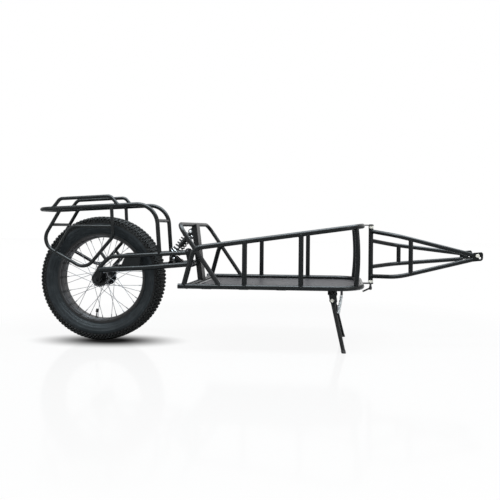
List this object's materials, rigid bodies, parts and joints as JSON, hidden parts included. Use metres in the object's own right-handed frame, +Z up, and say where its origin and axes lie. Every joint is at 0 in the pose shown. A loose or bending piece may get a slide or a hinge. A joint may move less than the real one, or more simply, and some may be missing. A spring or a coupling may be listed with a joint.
{
  "type": "single-wheel bicycle trailer",
  "caption": "Single-wheel touring trailer: fat wheel in a sprung swingarm with a rack, tubular cargo frame with a floor plate, steering hitch fork and folding stand.",
  "frame": {"origin": "on the ground, under the middle of the whole trailer's bounding box", "axes": "+X forward, towards the bicycle; +Y to the trailer's left; +Z up"},
  "size_m": [2.0526, 0.5422, 0.6873],
  "materials": {
    "tyre_rubber": "matt black rubber with a knobby tread",
    "rim_paint": "satin dark grey",
    "spoke_steel": "bright drawn wire",
    "black_powder_coat": "satin black powder coat",
    "dark_steel": "dark plated steel",
    "bright_steel": "bright plated steel",
    "bronze": "turned bronze",
    "floor_aluminium": "grey plate with a fine grain",
    "cream_plastic": "cream moulded nylon",
    "black_plastic": "black moulded plastic"
  },
  "bodies": {
    "frame": {"lower_rail": "black_powder_coat", "rail_plugs": "black_plastic", "rear_crossbar": "black_powder_coat", "upper_rail": "black_powder_coat", "side_posts": "black_powder_coat", "front_posts": "black_powder_coat", "rear_hoop": "black_powder_coat", "tower": "black_powder_coat", "pivot_tube": "black_powder_coat", "pivot_bolt": "dark_steel", "floor_plate": "floor_aluminium", "floor_straps": "black_powder_coat", "stand_bar": "black_powder_coat", "stand_brackets": "black_powder_coat", "stand_bolts": "cream_plastic", "spring_pin": "dark_steel", "steering_lugs": "black_powder_coat", "steering_pin": "dark_steel", "shock_upper_bracket": "black_powder_coat", "shock_upper_bolt": "bright_steel", "stand_spring": "bright_steel"},
    "swingarm": {"dropouts": "black_powder_coat", "lower_arms": "black_powder_coat", "upper_arms": "black_powder_coat", "arm_bosses": "black_powder_coat", "arm_bushes": "bronze", "arm_gussets": "black_powder_coat", "arm_heads": "black_powder_coat", "arm_bridge": "black_powder_coat", "arm_cross_tube": "black_powder_coat", "shock_lower_bracket": "black_powder_coat", "shock_lower_bolt": "bright_steel", "rack_rails": "black_powder_coat", "rack_hoops": "black_powder_coat", "pannier_loops": "black_powder_coat", "rack_inner_rails": "black_powder_coat", "rack_ties": "black_powder_coat", "rack_struts": "black_powder_coat", "axle": "bright_steel", "axle_nuts": "dark_steel"},
    "wheel": {"tyre": "tyre_rubber", "rim": "rim_paint", "spokes": "spoke_steel", "nipples": "spoke_steel", "hub_shell": "black_powder_coat", "hub_bearings": "bright_steel", "valve": "bright_steel"},
    "shock_body": {"shock_body": "dark_steel", "shock_spring": "black_powder_coat"},
    "shock_rod": {"shock_rod": "bright_steel"},
    "fork": {"head_tube": "black_powder_coat", "head_bushings": "cream_plastic", "fork_right_arm": "black_powder_coat", "fork_left_arm": "black_powder_coat", "hitch_plates": "black_powder_coat", "hitch_bolts": "cream_plastic"},
    "clamp_lever": {"clamp_lever": "black_plastic"},
    "stand": {"stand_shaft": "black_powder_coat", "stand_legs": "black_powder_coat", "stand_feet": "black_plastic"}
  },
  "joints": [
    {"name": "swing", "type": "hinge", "parent": "frame", "child": "swingarm", "pos_m": [-0.27775, 0, 0.371], "axis": [0, 1, 0], "range_deg": [0, 8], "stiffness_Nm_per_rad": 1500, "springref_deg": -2.29},
    {"name": "shock_swing", "type": "hinge", "parent": "frame", "child": "shock_body", "pos_m": [-0.30575, 0, 0.519], "axis": [0, 1, 0], "range_deg": [0, 2.6]},
    {"name": "shock_slide", "type": "slide", "parent": "shock_body", "child": "shock_rod", "axis": [0.6097, 0, 0.7926], "range_m": [0, 0.0175], "deforming": ["shock_spring"]},
    {"name": "wheel_spin", "type": "hinge", "parent": "swingarm", "child": "wheel", "pos_m": [-0.72975, 0, 0.293], "axis": [0, 1, 0], "continuous": true},
    {"name": "fork_steer", "type": "hinge", "parent": "frame", "child": "fork", "pos_m": [0.54025, 0, 0.42], "axis": [0, 0, 1], "range_deg": [-60, 60]},
    {"name": "lever_turn", "type": "hinge", "parent": "frame", "child": "clamp_lever", "pos_m": [0.54025, 0, 0.265], "axis": [0, 0, 1], "range_deg": [-40, 40]},
    {"name": "stand_fold", "type": "hinge", "parent": "frame", "child": "stand", "pos_m": [0.36425, 0, 0.22], "axis": [0, 1, 0], "range_deg": [0, 100], "deforming": ["stand_spring"]}
  ],
  "couplings": [
    {"joint": "shock_swing", "follows": "swing", "ratio": 0.2993},
    {"joint": "shock_slide", "follows": "swing", "m_per_rad": 0.11454}
  ]
}
